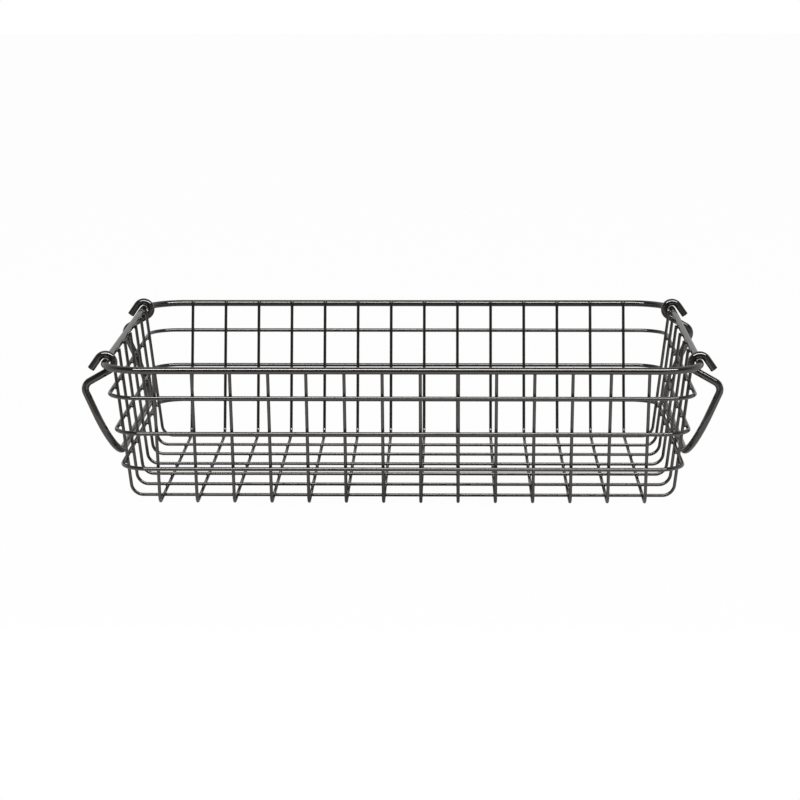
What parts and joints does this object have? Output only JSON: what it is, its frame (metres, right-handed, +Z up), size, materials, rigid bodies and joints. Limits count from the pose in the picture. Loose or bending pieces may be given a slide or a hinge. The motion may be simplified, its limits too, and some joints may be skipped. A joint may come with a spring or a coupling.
{
  "type": "wire basket",
  "caption": "Open rectangular organizer basket of bent and welded lacquered wire, with a thick rim and a swinging bail handle hooked over each short side.",
  "frame": {"origin": "under the middle of the floor, level with the underside of the cross wires", "axes": "+X along the long sides towards the right handle, +Y towards the back long side, +Z up"},
  "size_m": [0.427, 0.2926, 0.104],
  "materials": {
    "rim_lacquer": "satin black lacquer",
    "hoop_lacquer": "satin black lacquer",
    "mesh_lacquer": "satin black lacquer",
    "handle_lacquer": "satin black lacquer"
  },
  "bodies": {
    "basket": {"rim": "rim_lacquer", "hoop_1": "hoop_lacquer", "hoop_2": "hoop_lacquer", "hoop_3": "hoop_lacquer", "cross_wire_01": "mesh_lacquer", "cross_wire_02": "mesh_lacquer", "cross_wire_03": "mesh_lacquer", "cross_wire_04": "mesh_lacquer", "cross_wire_05": "mesh_lacquer", "cross_wire_06": "mesh_lacquer", "cross_wire_07": "mesh_lacquer", "cross_wire_08": "mesh_lacquer", "cross_wire_09": "mesh_lacquer", "cross_wire_10": "mesh_lacquer", "cross_wire_11": "mesh_lacquer", "cross_wire_12": "mesh_lacquer", "cross_wire_13": "mesh_lacquer", "cross_wire_14": "mesh_lacquer", "long_wire_1": "mesh_lacquer", "long_wire_2": "mesh_lacquer", "long_wire_3": "mesh_lacquer", "long_wire_4": "mesh_lacquer", "long_wire_5": "mesh_lacquer", "long_wire_6": "mesh_lacquer", "long_wire_7": "mesh_lacquer"},
    "left_handle": {"handle_left": "handle_lacquer"},
    "right_handle": {"handle_right": "handle_lacquer"}
  },
  "joints": [
    {"name": "left_handle_swing", "type": "hinge", "parent": "basket", "child": "left_handle", "pos_m": [-0.19735, 0.0033, 0.09675], "axis": [0, 1, 0], "range_deg": [-1, 295]},
    {"name": "right_handle_swing", "type": "hinge", "parent": "basket", "child": "right_handle", "pos_m": [0.19735, 0.0033, 0.09675], "axis": [0, -1, 0], "range_deg": [-1, 295]}
  ]
}
